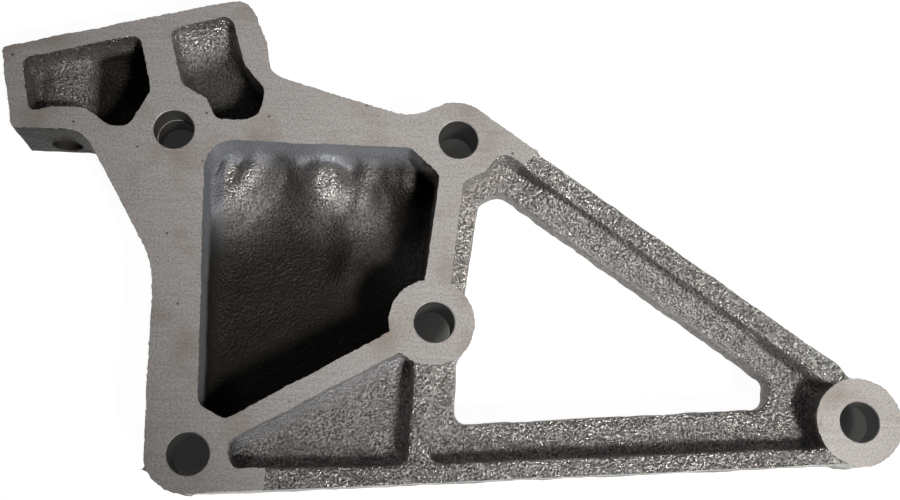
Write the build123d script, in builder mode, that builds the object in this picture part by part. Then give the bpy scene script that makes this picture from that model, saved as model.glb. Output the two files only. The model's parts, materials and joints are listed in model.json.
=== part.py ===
"""Engine mounting bracket, one iron casting.

A flat machined face carries four bolt holes and is walled around one large and two small pockets.
A triangular frame of two struts reaches out to the fifth bolt hole.
The origin is the centre of bolt hole A on the machined face. +X runs from hole A to hole B,
and +Z leaves the machined face. All sizes are in millimetres.
"""
import os
from math import atan, cos, radians, tan

from build123d import *

# Bolt holes, each for a 12 mm bolt, named A, B, C, E and F
bolt_hole_radius = 6.5
hole_b_x = 92.1
hole_c_x = 84.9
hole_c_y = -61.0
hole_e_x = 10.5
hole_e_y = -103.3
hole_f_x = 221.8
hole_f_y = -90.1
hole_edge_chamfer = 0.3
sleeve_depth = 9.4
sleeve_step = 0.3

# Depths below the machined face
seat_depth = 18.1
casting_depth = 26.0
floor_depth = 20.0
web_depth = 9.0
rim_drop = 0.9
end_boss_thickness = 9.6

# Bosses around the holes
bolt_seat_radius = 12.0
boss_b_radius = 13.2
boss_c_radius = 13.8
boss_c_shift = 0.7
corner_e_radius = 12.6
end_boss_radius = 14.2

# Head block at the upper left
block_left = -56.6
block_bottom = -1.4
block_top_left = 25.9
block_top_right = 47.1
block_peak_x = 21.8
block_right = 28.6
block_wall = 5.3
block_side_wall = 6.8
block_foot_x = -28.6
block_foot_radius = 11.0

# Leg, bars and ribs of the machined face
leg_left = -2.7
leg_width = 12.7
leg_shoulder_y = -44.8
leg_shoulder_radius = 28.0
top_bar_lower_edge = -3.2
post_width = 7.8
diagonal_width = 6.4
diagonal_spread = 1.1

# Sloping strut and bottom strut of the frame, and the window between them
strut_start = 12.9
strut_start_y = 6.5
strut_end = 4.8
strut_over_f = 18.3
strut_width = 15.4
strut_rim_width = 7.0
sill_under_e = 10.4
sill_under_f = 13.3
sill_end = 4.0
sill_width = 18.2
sill_spread = 1.0
sill_rim_width = 5.6
window_end = 25.5

# Form of the spaces
pocket_slope = 4.0
recess_slope = 5.0
window_slope = 1.5
large_floor_fillet = 1.5
block_floor_fillet = 1.2
recess_fillet = 2.0
window_fillet = 0.5
box_wall = 5.5
edge_rounding = 1.2
ramp_top_depth = 7.0

# Humps on the floor of the large pocket
first_hump_x = 24.5
second_hump_x = 48.2
third_hump_x = 63.0
fourth_hump_x = 78.0
long_hump_end = -15.0
short_hump_end = -13.5
long_hump_radius = 8.0
short_hump_radius = 7.0
high_hump_depth = 9.0
hump_depth = 11.0

# Threaded side hole for a 10 mm bolt, its axis along Y, at the thread's outer diameter
side_hole_x = -37.0
side_hole_depth = 17.5
side_hole_radius = 5.0
side_hole_length = 24.0
side_hole_chamfer = 0.35
side_mouth_reach = 1.5
drill_point_angle = 118.0
side_boss_radius = 9.2
side_boss_length = 29.0

# Thin fin of flash left at the parting line beside hole E
flash_reach = 1.1
flash_top = 0.2
flash_thickness = 0.8

hole_a = (0.0, 0.0)
hole_b = (hole_b_x, 0.0)
hole_c = (hole_c_x, hole_c_y)
hole_e = (hole_e_x, hole_e_y)
hole_f = (hole_f_x, hole_f_y)
boss_c = (hole_c_x - boss_c_shift, hole_c_y)
pocket_left_x = leg_left + leg_width
post_left_x = hole_b_x - 6
rough_start_x = hole_e_x + 23.5


def line_height(x, start, end, offset=0.0):
    """Height at x of the line through start and end, moved up by an offset square to the line."""
    slope = (end[1] - start[1]) / (end[0] - start[0])
    return start[1] + slope * (x - start[0]) + offset / cos(atan(slope))


def block_top(x, below=0.0):
    """Height of the head block's upper edge at x, or of a line lying lower by a wall."""
    return line_height(x, (block_left, block_top_left), (block_peak_x, block_top_right), -below)


def strut_line(x, below=0.0):
    """Height of the sloping strut's outer edge at x, or of a line lying lower by a width."""
    start = (hole_b_x + strut_start, strut_start_y)
    end = (hole_f_x - strut_end, hole_f_y + strut_over_f)
    return line_height(x, start, end, -below)


def sill_line(x, above=0.0):
    """Height of the bottom strut's outer edge at x, or of a line lying higher by a width."""
    start = (rough_start_x, hole_e_y - sill_under_e)
    end = (hole_f_x - sill_end, hole_f_y - sill_under_f)
    return line_height(x, start, end, above)


def diagonal_line(x, below=0.0):
    """Height of the upper edge of the rib from hole E to hole C at x, or of a line lying lower."""
    start = (hole_e_x + 10.5, hole_e_y + 10.6)
    end = (hole_c_x - 4.6, hole_c_y + 2)
    return line_height(x, start, end, -below)


def rounded_face(plane, corners):
    """A flat face with straight edges, from corners given as x, y and corner radius."""
    points = [(x, y) for x, y, radius in corners]
    radii = [radius for x, y, radius in corners]
    with BuildSketch(plane) as face:
        with BuildLine():
            FilletPolyline(*points, radius=radii, close=True)
        make_face()
    return face.sketch


def drafted_pocket(corners, depth, slope, floor_fillet):
    """The space of a pocket below the machined face, with sloping walls and a rounded floor."""
    with BuildPart() as space:
        add(extrude(rounded_face(Plane.XY, corners), amount=-depth))
        walls = space.faces().filter_by(lambda face: abs(face.normal_at().Z) < 0.01)
        draft(walls, Plane.XY, -slope)
        fillet(space.faces().sort_by(Axis.Z)[0].edges(), radius=floor_fillet)
    return space.part


# Corners of the block, shared by the outline and by the deeper block behind it
block_corners = [
    (block_left + 5.5, block_bottom, 1.5),
    (block_left, block_top_left, 2),
    (block_peak_x, block_top_right, 7),
    (block_right, 31, 5),
]

# Outline of the whole casting, seen from the machined side
outline = block_corners + [
    (block_right - 0.3, 20.8, 9),
    (hole_b_x - 15.8, 7.1, 14),
    (hole_b_x + 0.6, boss_b_radius + 1.9, boss_b_radius),
    (hole_f_x - strut_end, strut_line(hole_f_x - strut_end), 7),
    (hole_f_x + 1.5, hole_f_y + 8, 1),
    (hole_f_x - sill_end, sill_line(hole_f_x - sill_end), 1),
    (hole_e_x + 20, sill_line(hole_e_x + 20) - 0.4, 8),
    (leg_left, hole_e_y - corner_e_radius, corner_e_radius),
    (leg_left - 1, leg_shoulder_y, leg_shoulder_radius),
    (block_foot_x, block_bottom + 0.2, block_foot_radius),
]

large_pocket = [
    (pocket_left_x, top_bar_lower_edge + 0.2, 9.5),
    (hole_b_x - 15.5, top_bar_lower_edge - 0.4, 3.5),
    (post_left_x, -12.6, 3.5),
    (hole_c_x - 4.6, diagonal_line(hole_c_x - 4.6), 4),
    (hole_e_x + 10.5, diagonal_line(hole_e_x + 10.5), 3.5),
    (pocket_left_x + 2.7, hole_e_y + 15.3, 3.5),
]

left_block_pocket = [
    (block_left + block_side_wall, block_top(block_left + block_side_wall, block_wall), 3),
    (-13, block_top(-13, block_wall), 3),
    (-8.2, 13, 3),
    (-14.6, 0.4, 3.5),
    (-20.6, 0.6, 3.5),
    (side_hole_x + 8.5, block_bottom + 7.8, 6),
    (side_hole_x - 2, block_bottom + 7.7, 6),
    (side_hole_x - 8.8, block_bottom + 5.8, 2.5),
]

right_block_pocket = [
    (-3.4, block_top(-3.4, block_wall + 0.4), 3),
    (block_right - 12.4, block_top(block_right - 12.4, block_wall - 0.4), 3.5),
    (block_right - 7.2, 22.8, 12),
    (block_right - 0.2, 15, 5),
    (block_right - 1.6, 4.2, 6),
    (13.4, 4.2, 4),
    (10, 10.9, 3),
    (1.6, 15.4, 2.5),
]

corner_recess = [
    (hole_e_x + 11.9, diagonal_line(hole_e_x + 11.9, diagonal_width), 3.5),
    (hole_c_x - 5.6, diagonal_line(hole_c_x - 5.6, diagonal_width + diagonal_spread), 4),
    (hole_c_x - 7.9, sill_line(hole_c_x, sill_rim_width) - 0.4, 4),
    (hole_e_x + 12.4, hole_e_y - 4.3, 3.5),
]

frame_recess = [
    (post_left_x + post_width, -14.4, 2.5),
    (hole_b_x + 9.4, -10.4, 3),
    (hole_b_x + 14.2, -2.7, 4.5),
    (hole_f_x - 7, strut_line(hole_f_x - 7, strut_rim_width), 4),
    (hole_f_x - 7, sill_line(hole_f_x - 7, sill_rim_width), 4),
    (hole_c_x - 1.2, sill_line(hole_c_x - 1.2, sill_rim_width), 4),
    (hole_c_x + 1, hole_c_y, 8),
    (hole_c_x + 5.2, hole_c_y + 13, 4),
]

window = [
    (hole_b_x + 8.1, -17.8, 3.5),
    (hole_b_x + 15.4, strut_line(hole_b_x + 15.4, strut_width), 4),
    (hole_f_x - window_end, strut_line(hole_f_x - window_end, strut_width), 3.5),
    (hole_f_x - window_end - 1, sill_line(hole_f_x - window_end, sill_width + sill_spread), 5),
    (hole_c_x + 7.1, sill_line(hole_c_x + 7.1, sill_width), 3.5),
    (hole_c_x + 8.2, hole_c_y - 9, 3),
    (hole_c_x + 10.6, hole_c_y + 11, 3),
]

# The rims of the struts and the short rib below hole C stay as cast, below the machined face
rough_rims = [
    (rough_start_x, hole_e_y - 25, 0),
    (rough_start_x, hole_e_y - 1, 0),
    (hole_c_x - 9.5, hole_c_y - 16, 0),
    (hole_c_x, hole_c_y - 9, 0),
    (hole_c_x + 15, hole_c_y - 9, 0),
    (hole_b_x + 20.5, -9, 0),
    (hole_b_x + 33, 3, 0),
    (hole_f_x + 25, hole_f_y + 25, 0),
    (hole_f_x + 25, hole_f_y - 25, 0),
]

# Humps of the large pocket's floor: x and y of the rounded end, radius and depth of the top
humps = [
    (first_hump_x, long_hump_end, long_hump_radius, hump_depth),
    (second_hump_x, long_hump_end, long_hump_radius, high_hump_depth),
    (third_hump_x, short_hump_end, short_hump_radius, hump_depth),
    (fourth_hump_x, short_hump_end, short_hump_radius, hump_depth),
]

# Box that stands out at the back behind the large pocket
back_box = [
    (pocket_left_x - box_wall, top_bar_lower_edge + box_wall, 6),
    (post_left_x + box_wall, top_bar_lower_edge + box_wall, 6),
    (hole_c_x + 2.3, hole_c_y + 12, 2),
    (hole_c_x - 12, hole_c_y - 12, 4),
    (hole_e_x + 11.5, hole_e_y + 5, 4),
    (pocket_left_x + 2.7 - box_wall, hole_e_y + 11, 4),
]

# Head block, seen from the machined side
head_block = block_corners + [
    (block_right + 2, 10, 6),
    (12, -14, 4),
    (-18, -14, 4),
    (block_foot_x, block_bottom + 0.2, 6),
]

# Fin of flash
flash = [
    (leg_left + 2, hole_e_y - 2.6, 0),
    (leg_left - flash_reach, hole_e_y - 4.9, 0),
    (leg_left + 2, hole_e_y - 6, 0),
]

# The side boss with the threaded hole crosses the left pocket of the block
with BuildPart() as left_space:
    add(drafted_pocket(left_block_pocket, floor_depth, pocket_slope, block_floor_fillet))
    with BuildSketch(Plane.XZ.offset(-block_bottom)):
        with Locations((side_hole_x, -side_hole_depth)):
            Circle(side_boss_radius)
            Rectangle(2 * side_boss_radius, casting_depth, align=(Align.CENTER, Align.MAX))
    extrude(amount=-side_boss_length, mode=Mode.SUBTRACT)

# The floor of the right pocket of the block slopes down towards hole A
with BuildPart() as right_space:
    add(drafted_pocket(right_block_pocket, floor_depth, pocket_slope, block_floor_fillet))
    with BuildSketch(Plane.YZ.offset(block_left)):
        with BuildLine():
            Polyline(
                (block_top_right - 3.1, -ramp_top_depth),
                (block_top_right - 3.1, -casting_depth),
                (10, -casting_depth),
                (10, -floor_depth),
                close=True,
            )
        make_face()
    extrude(amount=block_right - block_left, mode=Mode.SUBTRACT)

# Rounded humps run down from the upper wall of the large pocket
with BuildPart() as large_space:
    add(drafted_pocket(large_pocket, floor_depth, pocket_slope, large_floor_fillet))
    for x, y, radius, top_depth in humps:
        with Locations((x, y, -top_depth - radius)):
            Sphere(radius, mode=Mode.SUBTRACT)
        with BuildSketch(Plane.XZ.offset(-y)):
            with Locations((x, -top_depth - radius)):
                Circle(radius)
        extrude(amount=y, mode=Mode.SUBTRACT)

with BuildPart() as bracket:
    # Plate with its full outline, rounded along the edge, down to the bolt seats
    add(extrude(rounded_face(Plane.XY, outline), amount=-seat_depth))
    fillet(bracket.faces().sort_by(Axis.Z)[-1].edges(), radius=edge_rounding)
    # Sharp edge wherever the face is machined
    with BuildSketch():
        add(rounded_face(Plane.XY, outline))
        add(rounded_face(Plane.XY, rough_rims), mode=Mode.SUBTRACT)
    extrude(amount=-2 * edge_rounding)
    # Box and head block, which stand out at the back
    add(extrude(rounded_face(Plane.XY.offset(-web_depth), back_box), amount=web_depth - casting_depth))
    add(extrude(rounded_face(Plane.XY, head_block), amount=-casting_depth))
    # Window, recesses and pockets
    add(drafted_pocket(window, casting_depth, window_slope, window_fillet), mode=Mode.SUBTRACT)
    add(drafted_pocket(frame_recess, web_depth, recess_slope, recess_fillet), mode=Mode.SUBTRACT)
    add(drafted_pocket(corner_recess, web_depth, recess_slope, recess_fillet), mode=Mode.SUBTRACT)
    add(large_space.part, mode=Mode.SUBTRACT)
    add(left_space.part, mode=Mode.SUBTRACT)
    add(right_space.part, mode=Mode.SUBTRACT)
    # Rough rims
    with BuildSketch():
        add(rounded_face(Plane.XY, rough_rims))
    extrude(amount=-rim_drop, mode=Mode.SUBTRACT)
    # Round bosses, which stand across the edges of the spaces
    with BuildSketch():
        with Locations(boss_c):
            Circle(boss_c_radius)
        with Locations(hole_f):
            Circle(end_boss_radius)
    extrude(amount=-seat_depth)
    with BuildSketch():
        with Locations(boss_c):
            Circle(boss_c_radius)
        add(rounded_face(Plane.XY, back_box), mode=Mode.INTERSECT)
    extrude(amount=-casting_depth)
    # Flash
    add(extrude(rounded_face(Plane.XY.offset(-flash_top), flash), amount=-flash_thickness))
    # Flat seats for the bolt heads at the back
    with BuildSketch(Plane.XY.offset(-casting_depth)):
        with Locations(hole_a, hole_b, hole_c, hole_e):
            Circle(bolt_seat_radius)
    extrude(amount=casting_depth - seat_depth, mode=Mode.SUBTRACT)
    with BuildSketch(Plane.XY.offset(-seat_depth)):
        with Locations(hole_f):
            Circle(bolt_seat_radius)
    extrude(amount=seat_depth - end_boss_thickness, mode=Mode.SUBTRACT)
    # Bolt holes; hole A is a little wider near the face, for a locating sleeve
    with Locations(hole_b, hole_c, hole_e, hole_f):
        Hole(bolt_hole_radius)
    with Locations(hole_a):
        CounterBoreHole(bolt_hole_radius - sleeve_step, bolt_hole_radius, sleeve_depth)
    mouths = bracket.edges().filter_by(GeomType.CIRCLE).filter_by_position(Axis.Z, -0.01, 0.01)
    mouths = mouths.filter_by(lambda edge: abs(edge.radius - bolt_hole_radius) < 0.01)
    chamfer(mouths, length=hole_edge_chamfer)
    # Threaded hole in the side boss, drilled blind
    side_mouth_radius = side_hole_radius + side_hole_chamfer
    tip_length = side_hole_radius / tan(radians(drill_point_angle / 2))
    with BuildSketch(Plane.XY.offset(-side_hole_depth)):
        with BuildLine():
            Polyline(
                (side_hole_x, block_bottom - side_mouth_reach),
                (side_hole_x + side_mouth_radius, block_bottom - side_mouth_reach),
                (side_hole_x + side_mouth_radius, block_bottom),
                (side_hole_x + side_hole_radius, block_bottom + side_hole_chamfer),
                (side_hole_x + side_hole_radius, block_bottom + side_hole_length),
                (side_hole_x, block_bottom + side_hole_length + tip_length),
                close=True,
            )
        make_face()
    revolve(axis=Axis((side_hole_x, 0, -side_hole_depth), (0, 1, 0)), mode=Mode.SUBTRACT)

bracket.part.label = "bracket_casting"
os.makedirs("parts", exist_ok=True)
export_step(bracket.part, "parts/bracket_casting.step")
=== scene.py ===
import json
import math
import bmesh
import bpy
from mathutils import Matrix, Vector, noise

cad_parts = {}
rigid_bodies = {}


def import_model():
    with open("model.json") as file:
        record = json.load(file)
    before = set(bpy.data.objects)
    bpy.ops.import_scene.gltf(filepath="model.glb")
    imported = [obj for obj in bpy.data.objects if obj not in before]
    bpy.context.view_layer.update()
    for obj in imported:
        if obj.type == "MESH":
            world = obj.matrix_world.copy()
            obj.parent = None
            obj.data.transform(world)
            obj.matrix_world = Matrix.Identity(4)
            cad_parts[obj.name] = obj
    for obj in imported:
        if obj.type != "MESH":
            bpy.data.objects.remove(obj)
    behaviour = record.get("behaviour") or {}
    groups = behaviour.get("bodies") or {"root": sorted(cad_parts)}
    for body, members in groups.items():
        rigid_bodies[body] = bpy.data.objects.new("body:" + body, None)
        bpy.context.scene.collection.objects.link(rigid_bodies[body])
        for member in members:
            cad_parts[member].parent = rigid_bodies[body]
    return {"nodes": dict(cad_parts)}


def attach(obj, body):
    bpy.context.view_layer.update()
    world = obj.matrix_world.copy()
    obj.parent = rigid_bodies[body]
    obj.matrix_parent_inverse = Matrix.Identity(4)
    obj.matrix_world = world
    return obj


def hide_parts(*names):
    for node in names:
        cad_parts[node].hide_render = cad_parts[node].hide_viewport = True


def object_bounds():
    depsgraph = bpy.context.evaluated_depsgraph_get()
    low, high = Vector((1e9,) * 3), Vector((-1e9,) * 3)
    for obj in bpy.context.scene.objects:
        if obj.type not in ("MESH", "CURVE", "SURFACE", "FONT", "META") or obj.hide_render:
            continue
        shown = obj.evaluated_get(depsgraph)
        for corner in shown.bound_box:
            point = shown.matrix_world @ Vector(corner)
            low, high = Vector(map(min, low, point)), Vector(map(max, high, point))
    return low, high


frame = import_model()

for default in list(bpy.data.objects):
    if default.name in ("Cube", "Light", "Camera"):
        bpy.data.objects.remove(default)
cad_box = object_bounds()
mm = 0.001

# ---- Bracket casting
# One grey iron casting with a walled plate, a head block and a triangular frame, poured in a sand
# mould, which leaves a dark and uneven skin with the sand's grain and soft edges. The side facing up
# is milled flat and dull and the bolt holes are drilled. The pockets are darkened, partly as soot of the
# mould and partly as painted shade, and the walls of the holes are painted dark as shade.

# Sizes in millimetres: centres of the bolt holes, how far a hole's wall and a bolt seat reach round
# them, and the side hole
bolt_holes = [(0, 0), (92.1, 0), (84.9, -61), (10.5, -103.3), (221.8, -90.1)]
hole_reach = 7.1
seat_reach = 12.2
side_hole_x = -37.0
side_hole_z = -17.5
side_hole_reach = 5.5
merge_distance = 0.002
# Material numbers on the casting's mesh
cast_skin, milled, bored, side_hole_painted_shade = 0, 1, 2, 3


def in_side_hole(point):
    """Whether a point in millimetres lies within the side hole's reach, seen along the hole."""
    return math.hypot(point.x - side_hole_x, point.z - side_hole_z) < side_hole_reach


def is_milled(face):
    """Whether a face of the casting is cut by a tool: flat face, bolt hole, bolt seat or side hole."""
    flat_level, flat_normal, downward = -0.05, 0.999, 0.01
    points = [vert.co / mm for vert in face.verts]
    if face.normal.z > flat_normal and min(point.z for point in points) > flat_level:
        return True
    for x, y in bolt_holes:
        reach = max(math.hypot(point.x - x, point.y - y) for point in points)
        if reach < hole_reach or (reach < seat_reach and face.normal.z < downward):
            return True
    return all(in_side_hole(point) for point in points)


casting = bmesh.new()
casting.from_mesh(frame["nodes"]["bracket_casting"].data)
soot_and_painted_shade = casting.verts.layers.float.new("soot_and_painted_shade")
wall_and_sheen = casting.verts.layers.float.new("smooth_wall_and_sheen")
calm = casting.verts.layers.float.new("calm")
floor_number = casting.faces.layers.int.new("floor_number")
bmesh.ops.remove_doubles(casting, verts=casting.verts, dist=merge_distance * mm)

# Floors of the three pockets: an outline round each, its highest level, its depth at a y and its rise
# for each millimetre above that y, and its rounded forms. Each form runs along a line between two
# points: their x and y, then the form's half width, its height and how steep its flanks are
pocket_floors = [
    ([(9.5, -2), (9.5, -103.3), (88, -58), (88, -2)], -8.0, (-20.0, 0, 0), [
        ((27.0, -5), (24.0, -11), 6.4, 9.5, 3.0),
        ((24.0, -11), (16.0, -21), 6.0, 8.0, 2.4),
        ((11, -3), (11, -90), 2.6, 11.0, 1.0),
        ((17, -5), (13, -24), 5.2, 8.5, 2.0),
        ((14, -3.5), (84, -3.5), 2.2, 12.0, 1.0),
        ((39.5, -5), (41.0, -9), 4.0, 8.0, 2.4),
        ((48.5, -5), (48.5, -9.0), 8.0, 9.5, 3.0),
        ((48.8, -13.4), (49.4, -14.8), 9.4, 13.6, 3.0),
        ((64.0, -5), (61.0, -18), 6.4, 9.0, 2.6),
        ((61.0, -18), (56.0, -24), 5.6, 6.5, 2.2),
        ((61.5, -26), (62, -30), 7.2, 3.8, 3.0),
        ((59, -31), (57, -42), 4.6, 3.0, 2.2),
        ((70.5, -5), (70.5, -11), 4.6, 8.0, 2.2),
        ((77.0, -5), (76.5, -12), 6.0, 8.5, 2.4),
        ((78, -20), (76.5, -24), 5.4, 3.4, 2.2),
    ]),
    ([(-56, 32), (-56, 1), (-8.5, 1), (-8.5, 32)], -3.0, (-20.0, 0, 0), [
        ((-38.0, 0), (-37.0, 32), 11.0, 11.0, 3.4),
        ((-49, 4), (-50, 24), 4.5, 14.0, 1.0),
        ((-50, 25), (-27, 29), 2.6, 14.0, 1.0),
        ((-27, 29), (-12, 33), 2.4, 12.0, 1.0),
    ]),
    ([(-5, 42), (-5, 16), (12, 6.7), (28, 4), (28, 42)], -3.0, (-20.0, 10, 0.36), [
        ((-3, 36), (-1, 18), 3.4, 11.0, 1.0),
        ((-3, 36), (17, 41), 3.4, 9.0, 1.0),
        ((19.5, 38), (19.5, 29), 2.5, 7.0, 1.0),
    ]),
]
large_pocket = pocket_floors[0][0]
floor_bottom = -25.0
form_blend = 4.0


def share_of_one(value):
    """A value kept between nothing and one."""
    return min(max(value, 0), 1)


def in_outline(outline, x, y):
    """Whether a point lies inside an outline without hollows, whose corners go round to the left."""
    return all(
        (x2 - x1) * (y - y1) > (y2 - y1) * (x - x1)
        for (x1, y1), (x2, y2) in zip(outline, outline[1:] + outline[:1]))


def distance_to_line(x, y, start, end):
    """How far a point lies from the line between two points."""
    (x1, y1), (x2, y2) = start, end
    length = (x2 - x1) ** 2 + (y2 - y1) ** 2
    along = share_of_one(((x - x1) * (x2 - x1) + (y - y1) * (y2 - y1)) / length)
    return math.hypot(x - x1 - along * (x2 - x1), y - y1 - along * (y2 - y1))


def floor_height(pocket, x, y):
    """Height of a pocket's floor, with its rounded forms."""
    outline, top, (depth, start_y, rise), forms = pocket
    total = 0.0
    for start, end, half_width, height, steepness in forms:
        distance = distance_to_line(x, y, start, end)
        total += (height * math.exp(-(distance / half_width) ** steepness)) ** form_blend
    return min(depth + rise * max(y - start_y, 0) + total ** (1 / form_blend), top + 1)


def low_in(pocket, face):
    """Whether a face of the casting lies low in a pocket."""
    outline, top = pocket[:2]
    return not in_side_hole(face.calc_center_median() / mm) and all(
        in_outline(outline, vert.co.x / mm, vert.co.y / mm) and floor_bottom < vert.co.z / mm < top
        for vert in face.verts)


# Each floor becomes one face, whose border follows the forms; it is cut up with the rest
border_edge = 2.0
flat_angle = math.radians(0.3)
for number, pocket in enumerate(pocket_floors, start=1):
    floor_faces = [face for face in casting.faces if low_in(pocket, face)]
    merged = bmesh.ops.dissolve_faces(casting, faces=floor_faces, use_verts=False)["region"]
    merged = max(merged, key=lambda face: face.calc_area())
    for cuts in (1, 2):
        long_edges = [edge for edge in merged.edges if edge.calc_length() > border_edge * mm]
        bmesh.ops.subdivide_edges(casting, edges=long_edges, cuts=cuts)
    for vert in merged.verts:
        vert.co.z = floor_height(pocket, vert.co.x / mm, vert.co.y / mm) * mm
    merged[floor_number] = number
    bmesh.ops.triangulate(casting, faces=[merged], quad_method="BEAUTY", ngon_method="BEAUTY")
bmesh.ops.dissolve_limit(
    casting, angle_limit=flat_angle, use_dissolve_boundaries=False,
    verts=casting.verts, edges=casting.edges, delimit={"NORMAL"})
for face in casting.faces:
    face.material_index = milled if is_milled(face) else cast_skin

# The cast skin is cut into small cells, which the sand's unevenness then moves
cell = 5.0
fine_cuts = 3
longest_edge = 1.8
cut_reach = 0.02


def skin_faces(most_corners=2):
    """Faces of the cast skin with more corners than the number given."""
    return [
        face for face in casting.faces
        if face.material_index == cast_skin and len(face.verts) > most_corners]


def triangulate_skin():
    """Cuts the skin's faces that have more than four corners into triangles."""
    bmesh.ops.triangulate(
        casting, faces=skin_faces(most_corners=4), quad_method="BEAUTY", ngon_method="BEAUTY")


first_faces = skin_faces()
skin = list({part for face in first_faces for part in (*face.verts, *face.edges)}) + first_faces
low, high = cad_box
for axis in range(3):
    direction = Vector([float(axis == i) for i in range(3)])
    place = low[axis] / mm + cell / 2
    while place < high[axis] / mm:
        cut = bmesh.ops.bisect_plane(
            casting, geom=skin, dist=cut_reach * mm, plane_co=direction * place * mm, plane_no=direction)
        skin = cut["geom"]
        place += cell
for longest, cuts in ((cell / 2, fine_cuts), (longest_edge, 1)):
    triangulate_skin()
    long_edges = {
        edge for face in skin_faces() for edge in face.edges if edge.calc_length() > longest * mm}
    bmesh.ops.subdivide_edges(casting, edges=list(long_edges), cuts=cuts, use_grid_fill=True)

# The border of the flat face is cut finer still, so that it can be a little ragged
milled_edge = -0.02
longest_border = 0.8
border = [
    edge for edge in casting.edges
    if {face.material_index for face in edge.link_faces} == {cast_skin, milled}
    and min(vert.co.z for vert in edge.verts) / mm > milled_edge
    and edge.calc_length() > longest_border * mm]
bmesh.ops.subdivide_edges(casting, edges=border, cuts=2)
triangulate_skin()

# Points of the skin alone are free; points on the border of the flat face slide in its plane
free, sliding = [], []
for vert in casting.verts:
    kinds = {face.material_index for face in vert.link_faces}
    if kinds == {cast_skin}:
        free.append(vert)
    elif cast_skin in kinds and vert.co.z / mm > milled_edge:
        sliding.append(vert)
sharp_angle = math.radians(25)
for edge in casting.edges:
    kinds = {face.material_index for face in edge.link_faces}
    edge.smooth = kinds == {cast_skin} or (kinds == {milled} and edge.calc_face_angle(0) < sharp_angle)
for face in casting.faces:
    face.smooth = True


skin_turns, head_turns, frame_turns = 3, 8, 6
half_way = 0.5


def round_off(verts, turns):
    """Rounds the skin's edges and corners, a little more with each turn."""
    for turn in range(turns):
        bmesh.ops.smooth_vert(
            casting, verts=verts, factor=half_way, use_axis_x=True, use_axis_y=True, use_axis_z=True)


for vert in free:
    numbers = {face[floor_number] for face in vert.link_faces}
    if len(numbers) == 1 and 0 not in numbers:
        vert.co.z = floor_height(pocket_floors[numbers.pop() - 1], vert.co.x / mm, vert.co.y / mm) * mm
round_off(free, skin_turns)

# The webs rise towards the foot of the sloping strut's rim, and in a slope towards the rib between
# the two lower left holes: a point of each foot, its way, where the rise starts and ends along it,
# how much it rises, over what width, and over what length it fades in and out
web_floor, web_underside = -9.0, -12.0
past_foot = -1.0
rib_slope = (20.0, -100.6, Vector((0.871, 0.492)), 0.0, 66.0, 6.6, 4.4, None)
web_slopes = [(167.6, -46.6, Vector((0.815, -0.579)), -62.0, 34.0, 4.6, 9.0, 8.0), rib_slope]


def place_on_slope(slope, x, y):
    """How far a point lies along a slope's foot, and how far out from it."""
    foot_x, foot_y, way = slope[:3]
    return (
        (x - foot_x) * way.x + (y - foot_y) * way.y,
        (x - foot_x) * way.y - (y - foot_y) * way.x)


for vert in free:
    x, y, z = vert.co / mm
    for slope in web_slopes:
        start, end, rise, width, fade_length = slope[3:]
        along, across = place_on_slope(slope, x, y)
        if start < along < end and past_foot < across < width and z > web_underside:
            fade = 1
            if fade_length:
                fade = min((along - start) / fade_length, (end - along) / fade_length, 1)
            vert.co.z = max(z, web_floor + rise * fade * (1 - max(across, 0) / width)) * mm

# The head block's pockets and the triangular frame are rounded still more, but not from below
casting.normal_update()
downward = -0.3
head_left, head_right, head_front, head_back, head_bottom, head_top = -54, 27, 3, 42, -25, -2.5
frame_left, frame_top = 94, -0.7
rib_x, rib_y, rib_rise = 30, -93, 0.575
upper_free = [(vert, vert.co / mm) for vert in free if not vert.normal.z < downward]
head_verts = [
    vert for vert, place in upper_free
    if head_left < place.x < head_right and head_front < place.y < head_back
    and head_bottom < place.z < head_top]
frame_verts = [
    vert for vert, place in upper_free
    if (place.x > frame_left or place.y < rib_y + rib_rise * (place.x - rib_x)) and place.z < frame_top]
round_off(head_verts, head_turns)
round_off(frame_verts, frame_turns)

# Unevenness of the skin: size and height of its waves, how much the sand eats away, and the size and
# depth of the ragged border round the flat face. The casting stays within its own box
waves = [(11.0, 0.32), (4.5, 0.2), (2.2, 0.1)]
wave_sink = 0.16
ragged_size, ragged_amount = 1.1, 0.45
casting.normal_update()
moves = []
for vert in free + sliding:
    height = -wave_sink
    for size, amount in waves:
        height += amount * noise.noise(vert.co / (size * mm))
    moves.append(vert.normal * height * mm)
for vert, move in zip(free + sliding, moves):
    vert.co += move
for vert in sliding:
    ragged = ragged_amount * noise.noise(vert.co / (ragged_size * mm))
    vert.co += vert.normal * ragged * mm
    vert.co.z = 0
for vert in free + sliding:
    for axis in range(3):
        vert.co[axis] = min(max(vert.co[axis], low[axis]), high[axis])

# Darkening deep in the pockets, partly soot of the mould's core and partly painted shade: the levels
# where it starts and is full
darkening_start, darkening_full = -5.0, -13.0
head_darkening_start, head_darkening_depth = -4, 8
# Lighter spots in the large pocket, with less of its darkening: painted light on its rounded forms and
# on its shaded right part: x, y, reach and strength
painted_light_spots = [(17, -13, 13.5, 0.8), (49, -11, 10.5, 1.1), (62, -22, 9.0, 0.25), (84, -38, 12.0, 0.2)]
# The left pocket of the head is darkened all over, and fully so right of its hump, where the shade
# of its right wall is painted
left_pocket_darkening, hump_right, hump_fade = 0.6, -30, 7
# The right pocket of the head is lightest at its upper left, with painted shade growing towards its
# lower right
right_pocket_darkening, least_shade_x, least_shade_y, pocket_shade_tilt, pocket_shade_fade = 0.9, 4, 36, 0.5, 13
# Where the head's pockets lie: their front, sides and the line that their upper edges keep below
head_pocket_front, head_pocket_left, between_pockets, head_pocket_right = 2, -53.5, -10, 30
upper_line_y, upper_line_rise = 38.3, 0.22
# The block's front is painted dark as shade, and the back and the frame's sides are evenly darker
front_right, front_edge = -20, 0.3
back_level, back_darkening = -23.5, 0.3
frame_side_left, frame_side_front, frame_side_level, frame_side_darkening = 90, -104, -10, 0.5
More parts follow.
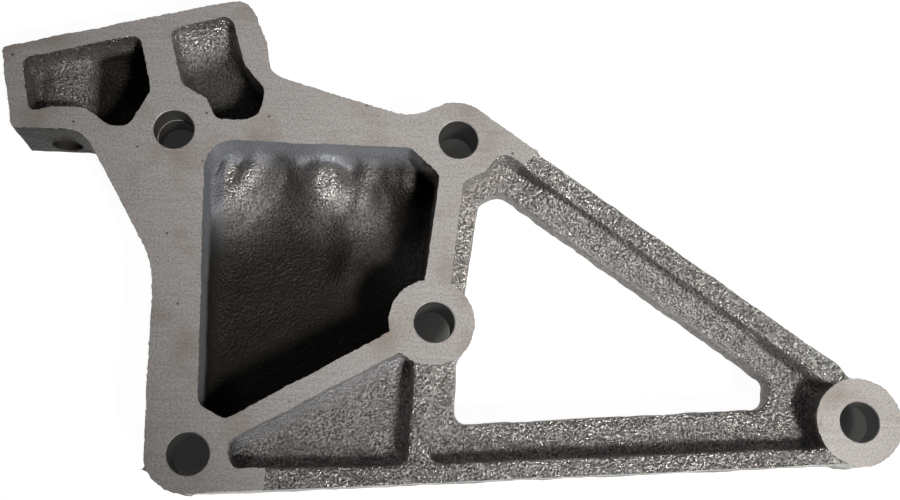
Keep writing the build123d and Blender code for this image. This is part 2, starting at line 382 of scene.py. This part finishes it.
# Painted shade along the feet of the frame's rims and in its creases: the line's two points, its half
# width and its strength
shade_line_level = -2
painted_shade_lines = [
    ((18, -106), (76, -105.5), 2.4, 0.3), ((76.5, -105), (77, -72), 2.4, 0.3),
    ((88, -104), (203, -98.4), 1.8, 0.15), ((113, -8), (205, -73.2), 0.8, 0.75),
    ((207, -82), (207, -98), 3.0, 0.6), ((18, -107), (22, -100), 3.5, 0.95),
    ((40, -98), (66, -86), 11.0, 0.22), ((112, -14), (200, -76), 7.0, 0.12),
]


def soot_and_shade_at(x, y, z):
    """How much soot and painted shade darken the casting at a point, without the painted shade along the
    rims.
    """
    deep = share_of_one((darkening_start - z) / (darkening_start - darkening_full))
    deep_in_head = share_of_one((head_darkening_start - z) / head_darkening_depth)
    if (x > frame_side_left or y < frame_side_front) and z < frame_side_level:
        return frame_side_darkening
    if z < back_level and (x >= front_right or y > front_edge):
        return back_darkening
    if in_outline(large_pocket, x, y):
        most_painted_light = max(
            strength * math.exp(-(math.hypot(x - spot_x, y - spot_y) / reach) ** 2)
            for spot_x, spot_y, reach, strength in painted_light_spots)
        return deep * max(1.0 - most_painted_light, 0)
    behind_front = y > head_pocket_front
    below_upper_line = y < upper_line_y + upper_line_rise * x
    if behind_front and below_upper_line and head_pocket_left < x < between_pockets:
        past_hump = max(left_pocket_darkening + (x - hump_right) / hump_fade, left_pocket_darkening)
        return deep_in_head * min(past_hump, 1)
    if behind_front and between_pockets <= x < head_pocket_right:
        away = pocket_shade_tilt * (x - least_shade_x) + (least_shade_y - y)
        return deep_in_head * right_pocket_darkening * share_of_one(away / pocket_shade_fade)
    # The block's front: painted shade, fully dark
    if x < front_right and not behind_front:
        return 1.0
    return 0.0


# Each point gets its soot and painted shade, then the painted shade along the rims
for vert in casting.verts:
    x, y, z = vert.co / mm
    vert[soot_and_painted_shade] = soot_and_shade_at(x, y, z)
    if z < shade_line_level:
        for start, end, reach, strength in painted_shade_lines:
            distance = distance_to_line(x, y, start, end)
            vert[soot_and_painted_shade] = max(vert[soot_and_painted_shade], strength * math.exp(-(distance / reach) ** 2))

# The large pocket's upper and left walls and the slope along the rib are smoother than the rest, with a
# painted bluish sheen, the left wall also with painted shade, and the grain is calmer in all the pockets
wall_left, wall_top, wall_fade, wall_bottom, left_wall_shade = 17.0, -8.0, 2.0, -24, 0.4
head_calm, calm_left, calm_right, calm_front, calm_top = 0.6, -56, 28, 1, -1.5
slope_bottom, slope_top, slope_out, slope_fade, slope_sheen = -8.4, -0.3, -2, 4, 0.5
for vert in free + sliding:
    x, y, z = vert.co / mm
    along, across = place_on_slope(rib_slope, x, y)
    slope_start, slope_end, rise, slope_width = rib_slope[3:7]
    if in_outline(large_pocket, x, y) and z > wall_bottom:
        left_band = share_of_one((wall_left - x) / wall_fade)
        top_band = share_of_one((y - wall_top) / wall_fade)
        vert[wall_and_sheen] = max(left_band, top_band)
        vert[calm] = 1
        vert[soot_and_painted_shade] = max(vert[soot_and_painted_shade], left_wall_shade * left_band * (1 - top_band))
    elif calm_left < x < calm_right and y > calm_front and z < calm_top:
        vert[calm] = head_calm
    elif (slope_bottom < z < slope_top and slope_start < along < slope_end
            and slope_out < across < slope_width):
        vert[wall_and_sheen] = min((slope_width - across) / slope_fade, slope_sheen)

# The walls of the holes, the side hole's too, are painted darker than the flat face, as the shade
# inside them
upright = 0.5
casting.normal_update()
for face in casting.faces:
    if face.material_index == milled and in_side_hole(face.calc_center_median() / mm):
        face.material_index = side_hole_painted_shade
    elif face.material_index == milled and abs(face.normal.z) < upright:
        face.material_index = bored
casting_mesh = bpy.data.meshes.new("casting")
casting.to_mesh(casting_mesh)
casting.free()
casting_piece = bpy.data.objects.new("casting", casting_mesh)
bpy.context.scene.collection.objects.link(casting_piece)


def mix_colours(nodes, links, factor, first, second):
    """A mix of two colours; each is a socket or a plain colour."""
    mix = nodes.new("ShaderNodeMix")
    mix.data_type = "RGBA"
    links.new(factor, mix.inputs["Factor"])
    for name, colour in (("A", first), ("B", second)):
        socket = [s for s in mix.inputs if s.name == name and s.type == "RGBA"][0]
        if isinstance(colour, tuple):
            socket.default_value = (*colour, 1)
        else:
            links.new(colour, socket)
    return [s for s in mix.outputs if s.type == "RGBA"][0]


def spread(nodes, links, value, from_min, from_max, to_min=0.0, to_max=1.0):
    """Carries a value from one range over to another."""
    node = nodes.new("ShaderNodeMapRange")
    for name, number in (
            ("From Min", from_min), ("From Max", from_max), ("To Min", to_min), ("To Max", to_max)):
        node.inputs[name].default_value = number
    links.new(value, node.inputs["Value"])
    return node.outputs["Result"]


def add_share(nodes, links, value, share, rest):
    """Adds a share of a value to the rest."""
    node = nodes.new("ShaderNodeMath")
    node.operation = "MULTIPLY_ADD"
    node.inputs[1].default_value = share
    links.new(value, node.inputs[0])
    links.new(rest, node.inputs[2])
    return node.outputs[0]


def two_values(nodes, links, operation, first, second):
    """Two values added or multiplied, or the greater of the two."""
    node = nodes.new("ShaderNodeMath")
    node.operation = operation
    links.new(first, node.inputs[0])
    links.new(second, node.inputs[1])
    return node.outputs[0]


def noise_texture(nodes, links, place, scale, detail=3.0):
    """Noise with the given number of lumps to the metre."""
    texture = nodes.new("ShaderNodeTexNoise")
    texture.inputs["Scale"].default_value = scale
    texture.inputs["Detail"].default_value = detail
    links.new(place, texture.inputs["Vector"])
    return texture.outputs["Fac"]


def mesh_values(nodes, name):
    """The values that the mesh holds under a name."""
    attribute = nodes.new("ShaderNodeAttribute")
    attribute.attribute_name = name
    return attribute.outputs["Fac"]


def add_bump(nodes, links, shader, height, strength, depth):
    """Lets a height show as relief, whose depth is in metres."""
    bump = nodes.new("ShaderNodeBump")
    bump.inputs["Strength"].default_value = strength
    bump.inputs["Distance"].default_value = depth
    links.new(height, bump.inputs["Height"])
    links.new(bump.outputs["Normal"], shader.inputs["Normal"])


def new_group(name, inputs, outputs):
    """A group of shader nodes with named inputs and outputs, and the nodes at its two ends."""
    group = bpy.data.node_groups.new(name, "ShaderNodeTree")
    for way, sockets in (("INPUT", inputs), ("OUTPUT", outputs)):
        for socket, kind in sockets:
            group.interface.new_socket(socket, in_out=way, socket_type=kind)
    return group, group.nodes.new("NodeGroupInput"), group.nodes.new("NodeGroupOutput")


def make_sand_grain():
    """Height and hollows of the grain that moulding sand leaves on iron: small uneven domes."""
    dome_share, deepest, shallowest = -0.7, 0.0, 0.2
    group, given, result = new_group(
        "sand_grain",
        [("Place", "NodeSocketVector"), ("Grains per Metre", "NodeSocketFloat")],
        [("Height", "NodeSocketFloat"), ("Hollow", "NodeSocketFloat")])
    nodes, links = group.nodes, group.links
    grains = nodes.new("ShaderNodeTexVoronoi")
    grains.feature = "SMOOTH_F1"
    grains.inputs["Smoothness"].default_value = 0.3
    clumps = nodes.new("ShaderNodeTexNoise")
    clumps.inputs["Detail"].default_value = 2
    clumps.inputs["Roughness"].default_value = 0.6
    for texture in (grains, clumps):
        links.new(given.outputs["Place"], texture.inputs["Vector"])
        links.new(given.outputs["Grains per Metre"], texture.inputs["Scale"])
    height = add_share(nodes, links, grains.outputs["Distance"], dome_share, clumps.outputs["Fac"])
    links.new(height, result.inputs["Height"])
    links.new(spread(nodes, links, height, shallowest, deepest), result.inputs["Hollow"])
    return group


def make_cast_iron():
    """The rough skin of the casting."""
    grains_per_metre, patches_per_metre, shine_per_metre = 1250, 45, 900
    darker, lighter, hollow_colour = (0.39, 0.369, 0.352), (0.47, 0.446, 0.425), (0.21, 0.194, 0.179)
    wall_sheen_colour, soot_and_shade_colour = (0.26, 0.268, 0.284), (0.011, 0.009, 0.006)
    clean_metallic, darkened_metallic, less_on_walls = 0.85, 0.2, -0.4
    shiniest, dullest, duller_where_darkened, duller_on_walls = 0.25, 0.36, 0.2, 0.14
    patch_range, shine_range = (0.35, 0.65), (0.3, 0.7)
    grain_depth, calm_grain = 1.0 * mm, 0.5
    material = bpy.data.materials.new("cast_iron_skin")
    material.use_nodes = True
    nodes, links = material.node_tree.nodes, material.node_tree.links
    shader = nodes["Principled BSDF"]
    shader.inputs["Specular IOR Level"].default_value = 0.2
    place = nodes.new("ShaderNodeTexCoord").outputs["Object"]
    grain = nodes.new("ShaderNodeGroup")
    grain.node_tree = make_sand_grain()
    grain.inputs["Grains per Metre"].default_value = grains_per_metre
    links.new(place, grain.inputs["Place"])
    smooth_wall_and_sheen = mesh_values(nodes, "smooth_wall_and_sheen")
    soot_and_shade_amount = mesh_values(nodes, "soot_and_painted_shade")

    patches = noise_texture(nodes, links, place, patches_per_metre, 2)
    patches = spread(nodes, links, patches, *patch_range)
    base = mix_colours(nodes, links, patches, darker, lighter)
    base = mix_colours(nodes, links, grain.outputs["Hollow"], base, hollow_colour)
    # The smoother walls get a painted bluish sheen
    base = mix_colours(nodes, links, smooth_wall_and_sheen, base, wall_sheen_colour)
    # Soot and painted shade darken the colour together
    base = mix_colours(nodes, links, soot_and_shade_amount, base, soot_and_shade_colour)
    links.new(base, shader.inputs["Base Color"])

    metallic = spread(nodes, links, soot_and_shade_amount, 0.0, 1.0, clean_metallic, darkened_metallic)
    links.new(add_share(nodes, links, smooth_wall_and_sheen, less_on_walls, metallic), shader.inputs["Metallic"])

    rough = noise_texture(nodes, links, place, shine_per_metre)
    rough = spread(nodes, links, rough, *shine_range, shiniest, dullest)
    rough = add_share(nodes, links, soot_and_shade_amount, duller_where_darkened, rough)
    rough = add_share(nodes, links, smooth_wall_and_sheen, duller_on_walls, rough)
    links.new(rough, shader.inputs["Roughness"])

    relief = spread(nodes, links, mesh_values(nodes, "calm"), 0.0, 1.0, 1.0, calm_grain)
    height = two_values(nodes, links, "MULTIPLY", grain.outputs["Height"], relief)
    add_bump(nodes, links, shader, height, 1.0, grain_depth)
    return material


def make_tool_marks():
    """Iron cut by a tool: fine speckles between two colours, with faint marks, stains and small pits."""
    marks_turned, marks_stretched, marks_per_metre = math.radians(35), 14, 70
    speckles_per_metre, stains_per_metre, pits_per_metre = 1500, 55, 190
    pit_edge, pit_middle, rarest_pit, surest_pit = 0.11, 0.06, 0.6, 0.75
    speckle_range, mark_range = (0.36, 0.64), (0.35, 0.7)
    stain_range, dull_range = (0.5, 0.75), (0.3, 0.7)
    most_mark, most_stain, most_dull = 0.3, 0.6, 0.12
    group, given, result = new_group(
        "tool_marks",
        [("Place", "NodeSocketVector"), ("Dark", "NodeSocketColor"), ("Light", "NodeSocketColor"),
         ("Mark", "NodeSocketColor"), ("Stain", "NodeSocketColor"), ("Pit", "NodeSocketColor"),
         ("Least Roughness", "NodeSocketFloat")],
        [("Colour", "NodeSocketColor"), ("Roughness", "NodeSocketFloat"), ("Height", "NodeSocketFloat")])
    nodes, links = group.nodes, group.links
    place = given.outputs["Place"]
    turned = nodes.new("ShaderNodeMapping")
    turned.inputs["Rotation"].default_value = (0, 0, marks_turned)
    turned.inputs["Scale"].default_value = (1, marks_stretched, 1)
    links.new(place, turned.inputs["Vector"])
    marks = noise_texture(nodes, links, turned.outputs["Vector"], marks_per_metre)
    speckles = noise_texture(nodes, links, place, speckles_per_metre, 2)
    stains = noise_texture(nodes, links, place, stains_per_metre, 4)
    pits = nodes.new("ShaderNodeTexVoronoi")
    pits.inputs["Scale"].default_value = pits_per_metre
    links.new(place, pits.inputs["Vector"])
    chance = nodes.new("ShaderNodeSeparateColor")
    links.new(pits.outputs["Color"], chance.inputs[0])
    pitted = two_values(
        nodes, links, "MULTIPLY", spread(nodes, links, pits.outputs["Distance"], pit_edge, pit_middle),
        spread(nodes, links, chance.outputs[0], rarest_pit, surest_pit))

    colour = given.outputs["Dark"]
    for name, amount in (
            ("Light", spread(nodes, links, speckles, *speckle_range)),
            ("Mark", spread(nodes, links, marks, *mark_range, 0.0, most_mark)),
            ("Stain", spread(nodes, links, stains, *stain_range, 0.0, most_stain)),
            ("Pit", pitted)):
        colour = mix_colours(nodes, links, amount, colour, given.outputs[name])
    links.new(colour, result.inputs["Colour"])
    duller = spread(nodes, links, speckles, *dull_range, 0.0, most_dull)
    rough = two_values(nodes, links, "ADD", duller, given.outputs["Least Roughness"])
    links.new(rough, result.inputs["Roughness"])
    links.new(speckles, result.inputs["Height"])
    return group


tool_marks = make_tool_marks()


def make_milled_iron(name, dark, light, least_roughness):
    """Iron cut by a tool, with tool marks between two colours."""
    speckle_strength, speckle_depth = 0.7, 0.12 * mm
    material = bpy.data.materials.new(name)
    material.use_nodes = True
    nodes, links = material.node_tree.nodes, material.node_tree.links
    shader = nodes["Principled BSDF"]
    shader.inputs["Metallic"].default_value = 0.45
    surface = nodes.new("ShaderNodeGroup")
    surface.node_tree = tool_marks
    links.new(nodes.new("ShaderNodeTexCoord").outputs["Object"], surface.inputs["Place"])
    for socket, colour, tint in (
            ("Dark", dark, (1, 1, 1)), ("Light", light, (1, 1, 1)), ("Mark", light, (1.2, 1.2, 1.2)),
            ("Stain", dark, (0.75, 0.62, 0.5)), ("Pit", dark, (0.35, 0.35, 0.35))):
        surface.inputs[socket].default_value = (*(c * t for c, t in zip(colour, tint)), 1)
    surface.inputs["Least Roughness"].default_value = least_roughness
    links.new(surface.outputs["Colour"], shader.inputs["Base Color"])
    links.new(surface.outputs["Roughness"], shader.inputs["Roughness"])
    add_bump(nodes, links, shader, surface.outputs["Height"], speckle_strength, speckle_depth)
    return material


for material in (
        make_cast_iron(),
        make_milled_iron("milled_iron", (0.252, 0.234, 0.217), (0.405, 0.378, 0.355), 0.45),
        # The bores are painted nearly black, as the shade inside them
        make_milled_iron("bored_iron_painted_shade", (0.02, 0.019, 0.017), (0.04, 0.038, 0.034), 0.55),
        # The side hole is painted nearly black, as the shade inside it
        make_milled_iron("side_hole_iron_painted_shade", (0.012, 0.01, 0.008), (0.03, 0.026, 0.02), 0.6)):
    casting_mesh.materials.append(material)
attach(casting_piece, "root")
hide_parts("bracket_casting")

# ---- Thread of the side hole
# Cut into the iron of the blind hole in the head block's lower side, for a 10 mm bolt with 1.5 mm
# pitch. One ridge winds round the hole's wall, from its mouth to near its end.
thread_root, thread_crest, pitch = 5.08, 4.2, 1.5
thread_first, thread_turns, thread_steps = 0.4, 13, 28
thread_profile = ((thread_root, 0.06), (thread_crest, 0.62), (thread_crest, 0.88), (thread_root, 1.44))
thread = bmesh.new()
corners = [
    thread.verts.new(
        (Vector((side_hole_x, thread_first + along, side_hole_z)) + Vector((radius, 0, 0))) * mm)
    for radius, along in thread_profile]
first_face = thread.faces.new(corners)
bmesh.ops.spin(
    thread, geom=[first_face, *first_face.verts, *first_face.edges],
    cent=Vector((side_hole_x, 0, side_hole_z)) * mm, axis=(0, 1, 0), angle=2 * math.pi * thread_turns,
    dvec=Vector((0, pitch / thread_steps, 0)) * mm, steps=thread_turns * thread_steps)
bmesh.ops.recalc_face_normals(thread, faces=thread.faces)
for face in thread.faces:
    face.smooth = False
thread_mesh = bpy.data.meshes.new("side_thread")
thread.to_mesh(thread_mesh)
thread.free()
thread_piece = bpy.data.objects.new("side_thread", thread_mesh)
bpy.context.scene.collection.objects.link(thread_piece)
# The thread is painted nearly black, as the shade inside the side hole
thread_mesh.materials.append(
    make_milled_iron("cut_thread_painted_shade", (0.015, 0.012, 0.009), (0.04, 0.032, 0.024), 0.6))
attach(thread_piece, "root")

# ---- Floor
# A plain white table top under the bracket. The camera sees it evenly white, apart from the lamps'
# own shadows and from painted shadow spots under the bolt holes, which stand for the casting's shade.
shade_reach, shade_end = 7.4, 8.8
shade_margin = 10.0
shade_step = 1.5
floor_reach = 3.0
# Each painted shadow spot's x, y and darkness, which is full to one reach and ends at the other
painted_shadow_spots = [(-2, 5, 0.93), (93.4, 5, 0.8), (86, -58.3, 0.8), (8.7, -102.3, 1.0), (229.9, -88.2, 0.97)]
floor_shape = bmesh.new()
centre = (low + high) / 2
half = (high - low) / 2 + Vector((shade_margin, shade_margin, 0)) * mm
bmesh.ops.create_grid(
    floor_shape, x_segments=int(2 * half.x / mm / shade_step),
    y_segments=int(2 * half.y / mm / shade_step), size=1)
bmesh.ops.scale(floor_shape, verts=floor_shape.verts, vec=(half.x, half.y, 1))
painted_shadow = floor_shape.verts.layers.float.new("painted_shadow")
for vert in floor_shape.verts:
    x, y = (vert.co.x + centre.x) / mm, (vert.co.y + centre.y) / mm
    for spot_x, spot_y, darkness in painted_shadow_spots:
        away = math.hypot(x - spot_x, y - spot_y)
        vert[painted_shadow] += darkness * share_of_one((shade_end - away) / (shade_end - shade_reach))
rim = [edge for edge in floor_shape.edges if edge.is_boundary]
outer = bmesh.ops.extrude_edge_only(floor_shape, edges=rim)
outer = [part for part in outer["geom"] if isinstance(part, bmesh.types.BMVert)]
bmesh.ops.scale(floor_shape, verts=outer, vec=(floor_reach / half.x, floor_reach / half.y, 1))
bmesh.ops.translate(floor_shape, verts=floor_shape.verts, vec=(centre.x, centre.y, low.z))
bmesh.ops.recalc_face_normals(floor_shape, faces=floor_shape.faces)
floor_mesh = bpy.data.meshes.new("floor")
floor_shape.to_mesh(floor_mesh)
floor_shape.free()
floor = bpy.data.objects.new("floor", floor_mesh)
bpy.context.scene.collection.objects.link(floor)

# White paint, and what the camera sees of it: a glow without shade that fades at the painted shadow
# spots, and a dim surface on top that keeps the bracket's own shadow and is painted darker there
dim_colour, painted_shadow_colour = (0.16, 0.165, 0.15), (0.012, 0.01, 0.009)
glow_full, glow_least, dark_from = 0.96, 0.02, 0.8
paint = bpy.data.materials.new("pale_floor")
paint.use_nodes = True
nodes, links = paint.node_tree.nodes, paint.node_tree.links
surface = nodes["Principled BSDF"]
surface.inputs["Base Color"].default_value = (0.8, 0.8, 0.8, 1)
surface.inputs["Roughness"].default_value = 0.9
painted_shadow_value = mesh_values(nodes, "painted_shadow")
glow = nodes.new("ShaderNodeEmission")
glow.inputs["Color"].default_value = (1, 1, 1, 1)
links.new(spread(nodes, links, painted_shadow_value, 0.0, dark_from, glow_full, glow_least), glow.inputs["Strength"])
dim = nodes.new("ShaderNodeBsdfDiffuse")
painted_shadow_darkening = spread(nodes, links, painted_shadow_value, dark_from, 1.0)
links.new(mix_colours(nodes, links, painted_shadow_darkening, dim_colour, painted_shadow_colour), dim.inputs["Color"])
seen = nodes.new("ShaderNodeAddShader")
links.new(glow.outputs[0], seen.inputs[0])
links.new(dim.outputs[0], seen.inputs[1])
path = nodes.new("ShaderNodeLightPath")
seen_ray = two_values(
    nodes, links, "MAXIMUM", path.outputs["Is Camera Ray"], path.outputs["Is Glossy Ray"])
seen_ray = two_values(nodes, links, "MAXIMUM", seen_ray, path.outputs["Is Transmission Ray"])
either = nodes.new("ShaderNodeMixShader")
links.new(seen_ray, either.inputs[0])
links.new(surface.outputs[0], either.inputs[1])
links.new(seen.outputs[0], either.inputs[2])
links.new(either.outputs[0], nodes["Material Output"].inputs["Surface"])
floor_mesh.materials.append(paint)

# ---- Light and camera
# Soft light from the lower right, as in the photograph, a weaker and lower one for the frame, a
# faint one from the upper left that keeps the shadows open, and a dim room.
scene = bpy.context.scene
world = bpy.data.worlds.new("room")
scene.world = world
world.use_nodes = True
room = world.node_tree.nodes["Background"]
room.inputs["Color"].default_value = (0.97, 0.95, 1.0, 1)
room.inputs["Strength"].default_value = 0.085


def soft_lamp(name, place, aim, size, power, spread_angle):
    """A square soft light that looks from its place at a point, with its beam's angle in degrees."""
    light = bpy.data.lights.new(name, "AREA")
    light.size = size
    light.energy = power
    light.spread = math.radians(spread_angle)
    lamp = bpy.data.objects.new(name, light)
    scene.collection.objects.link(lamp)
    lamp.location = place
    lamp.rotation_euler = (Vector(aim) - Vector(place)).to_track_quat("-Z", "Y").to_euler()


soft_lamp("main_light", (0.58, -0.45, 0.77), (0.158, 0.0, 0), 0.30, 0.44, 15.5)
soft_lamp("low_light", (0.56, -0.70, 0.60), (0.135, -0.11, 0), 0.22, 0.06, 11)
soft_lamp("back_light", (-0.30, 0.45, 0.75), (0.12, -0.07, 0), 0.30, 0.03, 20)

camera_place = (0.0575, -0.1284, 0.3738)
right = Vector((0.9961, 0.0088, 0.0879))
up = Vector((-0.0292, 0.9718, 0.2340))
back = right.cross(up)
camera_data = bpy.data.cameras.new("camera")
camera_data.sensor_width = 36
camera_data.lens = 48.084
camera = bpy.data.objects.new("camera", camera_data)
scene.collection.objects.link(camera)
turn = Matrix((right, up, back)).transposed().to_4x4()
camera.matrix_world = Matrix.Translation(camera_place) @ turn
scene.camera = camera
scene.view_settings.view_transform = "Standard"
